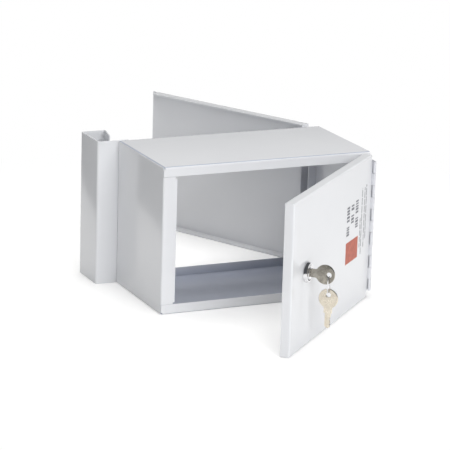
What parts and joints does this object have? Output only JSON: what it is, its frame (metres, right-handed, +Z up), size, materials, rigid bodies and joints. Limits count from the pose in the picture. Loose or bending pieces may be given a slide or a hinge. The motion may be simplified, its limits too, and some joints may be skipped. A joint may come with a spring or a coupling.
{
  "type": "hanging drop box",
  "caption": "Folded steel drop box with a locking front door on a continuous hinge, a plain rear door, a wall hook and two keys.",
  "frame": {"origin": "middle of the face that the box lies on, its long wall", "axes": "+X from the hook end to the hinge end, +Y from the front frame to the rear frame, +Z up as it lies"},
  "size_m": [0.2628, 0.526, 0.1587],
  "materials": {
    "white_powder": "smooth semi-gloss white powder coat",
    "hinge_white": "white powder coat, thinner over the knuckles",
    "zinc_steel": "bright zinc plate",
    "chrome": "polished chrome plate",
    "wafer_brass": "plain stamped brass",
    "key_nickel": "nickel plate, lightly worn",
    "spare_nickel": "pale warm nickel plate, lightly worn"
  },
  "bodies": {
    "box": {"body_wrap": "white_powder", "hinge_end_panel": "white_powder", "wall_hook": "white_powder", "front_hinge_body_leaf": "hinge_white", "front_hinge_pin": "zinc_steel", "rear_hinge_body_leaf": "hinge_white", "rear_hinge_pin": "zinc_steel"},
    "front_door": {"front_door": "white_powder", "front_hinge_door_leaf": "hinge_white", "lock_housing": "chrome", "lock_washer": "zinc_steel", "lock_nut": "zinc_steel"},
    "lock_plug": {"lock_plug": "chrome", "stop_washer": "zinc_steel", "lock_cam": "zinc_steel", "cam_washer": "zinc_steel", "cam_screw": "zinc_steel"},
    "wafers": {"wafers": "wafer_brass"},
    "key": {"key": "key_nickel"},
    "key_link": {"key_link": "chrome"},
    "spare_key": {"spare_key": "spare_nickel"},
    "rear_door": {"rear_door": "white_powder", "rear_hinge_door_leaf": "hinge_white"}
  },
  "joints": [
    {"name": "front_door_hinge", "type": "hinge", "parent": "box", "child": "front_door", "pos_m": [0.11845, -0.0762, 0.07935], "axis": [0, 0, 1], "range_deg": [-44, 136]},
    {"name": "rear_door_hinge", "type": "hinge", "parent": "box", "child": "rear_door", "pos_m": [0.11845, 0.0783, 0.07935], "axis": [0, 0, -1], "range_deg": [-64, 116]},
    {"name": "lock_turn", "type": "hinge", "parent": "front_door", "child": "lock_plug", "pos_m": [-0.02479, -0.21161, 0.07935], "axis": [-0.6947, 0.7193, 0], "range_deg": [0, 90]},
    {"name": "key_pull", "type": "slide", "parent": "lock_plug", "child": "key", "axis": [0.6947, -0.7193, 0], "range_m": [0, 0.02]},
    {"name": "wafer_drop", "type": "slide", "parent": "lock_plug", "child": "wafers", "axis": [0, 0, -1], "range_m": [0, 0.001]},
    {"name": "link_swing", "type": "hinge", "parent": "key", "child": "key_link", "pos_m": [-0.00777, -0.22923, 0.07755], "axis": [-0.7193, -0.6947, 0], "range_deg": [-12, 40]},
    {"name": "spare_key_swing", "type": "hinge", "parent": "key_link", "child": "spare_key", "pos_m": [-0.00777, -0.22923, 0.06085], "axis": [-0.7193, -0.6947, 0], "range_deg": [-12, 40]}
  ],
  "couplings": [
    {"joint": "wafer_drop", "follows": "key_pull", "ratio": 0.05}
  ]
}
